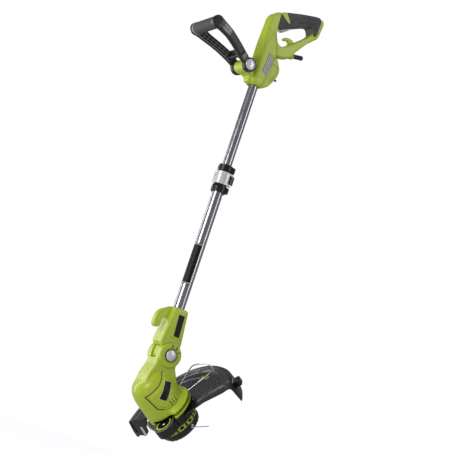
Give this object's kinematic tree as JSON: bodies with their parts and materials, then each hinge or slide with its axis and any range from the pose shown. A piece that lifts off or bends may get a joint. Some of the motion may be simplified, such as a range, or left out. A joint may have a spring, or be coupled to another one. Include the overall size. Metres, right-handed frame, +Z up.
{
  "type": "string trimmer",
  "caption": "Corded string trimmer with a D-shaped rear handle, swinging loop front handle, telescopic pole, tilting motor head, guard, edging wheel and bump-feed line spool.",
  "frame": {"origin": "where the pole enters the rear handle, on the pole's axis", "axes": "+Z up the pole, +X back to the user, -Y to the tool's near side"},
  "size_m": [0.3846, 0.31, 1.1877],
  "materials": {
    "lime_plastic": "fine satin moulding",
    "black_plastic": "semi-gloss moulding",
    "grey_rubber": "soft-touch matt",
    "light_grey_plastic": "satin moulding",
    "aluminium_tube": "satin anodised",
    "silver_plastic": "silver painted",
    "steel": "bright",
    "copper_winding": null,
    "brass_contact": "plain",
    "nylon_line": "smooth nylon",
    "black_rubber": "matt"
  },
  "bodies": {
    "rear_handle": {"rear_handle_left_shell": "lime_plastic", "rear_handle_right_shell": "lime_plastic", "left_grip_pad": "grey_rubber", "right_grip_pad": "grey_rubber", "trigger_spring": "steel", "switch_body": "black_plastic", "inlet_plug": "black_rubber", "inlet_pin_left": "brass_contact", "inlet_pin_right": "brass_contact", "handle_lead": "black_rubber", "upper_tube": "aluminium_tube", "front_pivot_rod": "steel"},
    "pole_guide": {"guide_bush": "black_plastic"},
    "lower_pole": {"lower_tube": "aluminium_tube", "clamp_collar": "black_plastic", "lever_pin": "steel", "yoke_left_shell": "lime_plastic", "yoke_right_shell": "lime_plastic", "pole_lead": "black_rubber"},
    "clamp_lever": {"clamp_lever": "silver_plastic"},
    "front_handle": {"front_handle": "black_plastic", "front_grip_sleeve": "grey_rubber", "front_button_spring_left": "steel", "front_button_spring_right": "steel"},
    "front_button_left": {"front_button_left": "silver_plastic"},
    "front_button_right": {"front_button_right": "silver_plastic"},
    "trigger": {"trigger": "light_grey_plastic"},
    "head": {"head_left_shell": "lime_plastic", "head_right_shell": "lime_plastic", "tilt_pin": "steel", "tilt_button_spring": "steel", "field_stator": "steel", "field_coil": "copper_winding", "upper_bearing": "steel", "lower_bearing": "steel", "motor_bracket": "black_plastic", "brush_left": "black_plastic", "brush_right": "black_plastic", "motor_base": "black_plastic", "lower_band": "lime_plastic", "guard": "black_plastic", "line_cutter": "steel", "cutter_screw": "steel", "wheel_axle": "steel"},
    "tilt_button": {"tilt_button": "silver_plastic"},
    "spinner": {"motor_shaft": "steel", "armature": "copper_winding", "commutator": "brass_contact", "cooling_fan": "black_plastic", "spool_housing": "lime_plastic", "spool_cap": "black_plastic", "line_eyelet": "steel", "line_end": "nylon_line", "spool_spring": "steel"},
    "bump_knob": {"bump_knob": "black_plastic"},
    "line_spool": {"line_spool": "black_plastic", "line_winding": "nylon_line"},
    "edge_wheel": {"edge_wheel": "black_plastic"},
    "plant_guard": {"plant_guard_ring": "black_plastic", "plant_guard_wire": "steel"}
  },
  "joints": [
    {"name": "pole_twist", "type": "hinge", "parent": "rear_handle", "child": "pole_guide", "pos_m": [0, 0, -0.425], "axis": [0, 0, 1], "range_deg": [0, 180]},
    {"name": "pole_telescope", "type": "slide", "parent": "pole_guide", "child": "lower_pole", "axis": [0, 0, -1], "range_m": [-0.18, 0.12]},
    {"name": "clamp_lever_flip", "type": "hinge", "parent": "lower_pole", "child": "clamp_lever", "pos_m": [0.015, -0.019, -0.2685], "axis": [0, 0, 1], "range_deg": [0, 100]},
    {"name": "front_handle_swing", "type": "hinge", "parent": "rear_handle", "child": "front_handle", "pos_m": [-0.048, 0, 0.028], "axis": [0, 1, 0], "range_deg": [-45, 40]},
    {"name": "front_button_left_press", "type": "slide", "parent": "front_handle", "child": "front_button_left", "axis": [0, 1, 0], "range_m": [0, 0.0035], "stiffness_N_per_m": 1200, "springref_m": -0.001},
    {"name": "front_button_right_press", "type": "slide", "parent": "front_handle", "child": "front_button_right", "axis": [0, -1, 0], "range_m": [0, 0.0035], "stiffness_N_per_m": 1200, "springref_m": -0.001},
    {"name": "trigger_pull", "type": "hinge", "parent": "rear_handle", "child": "trigger", "pos_m": [0.04645, 0, 0.19369], "axis": [0, 1, 0], "range_deg": [0, 9], "stiffness_Nm_per_rad": 0.6, "springref_deg": -5.73},
    {"name": "head_tilt", "type": "hinge", "parent": "lower_pole", "child": "head", "pos_m": [0.003, 0, -0.732], "axis": [0, 1, 0], "range_deg": [0, 35]},
    {"name": "tilt_button_press", "type": "slide", "parent": "head", "child": "tilt_button", "axis": [0, 1, 0], "range_m": [0, 0.0035], "stiffness_N_per_m": 1200, "springref_m": -0.001},
    {"name": "motor_spin", "type": "hinge", "parent": "head", "child": "spinner", "pos_m": [-0.0335, 0, -0.80093], "axis": [-0.8838, 0, 0.4679], "continuous": true},
    {"name": "bump_feed", "type": "slide", "parent": "spinner", "child": "bump_knob", "axis": [-0.8838, 0, 0.4679], "range_m": [0, 0.004], "stiffness_N_per_m": 2500, "springref_m": -0.003},
    {"name": "spool_turn", "type": "hinge", "parent": "bump_knob", "child": "line_spool", "pos_m": [-0.0335, 0, -0.80093], "axis": [-0.8838, 0, 0.4679], "continuous": true},
    {"name": "edge_wheel_roll", "type": "hinge", "parent": "head", "child": "edge_wheel", "pos_m": [0.05069, -0.0377, -0.89518], "axis": [-0.8838, 0, 0.4679], "continuous": true},
    {"name": "plant_guard_swing", "type": "hinge", "parent": "head", "child": "plant_guard", "pos_m": [-0.0335, 0, -0.80093], "axis": [0.8838, 0, -0.4679], "range_deg": [0, 180]}
  ]
}
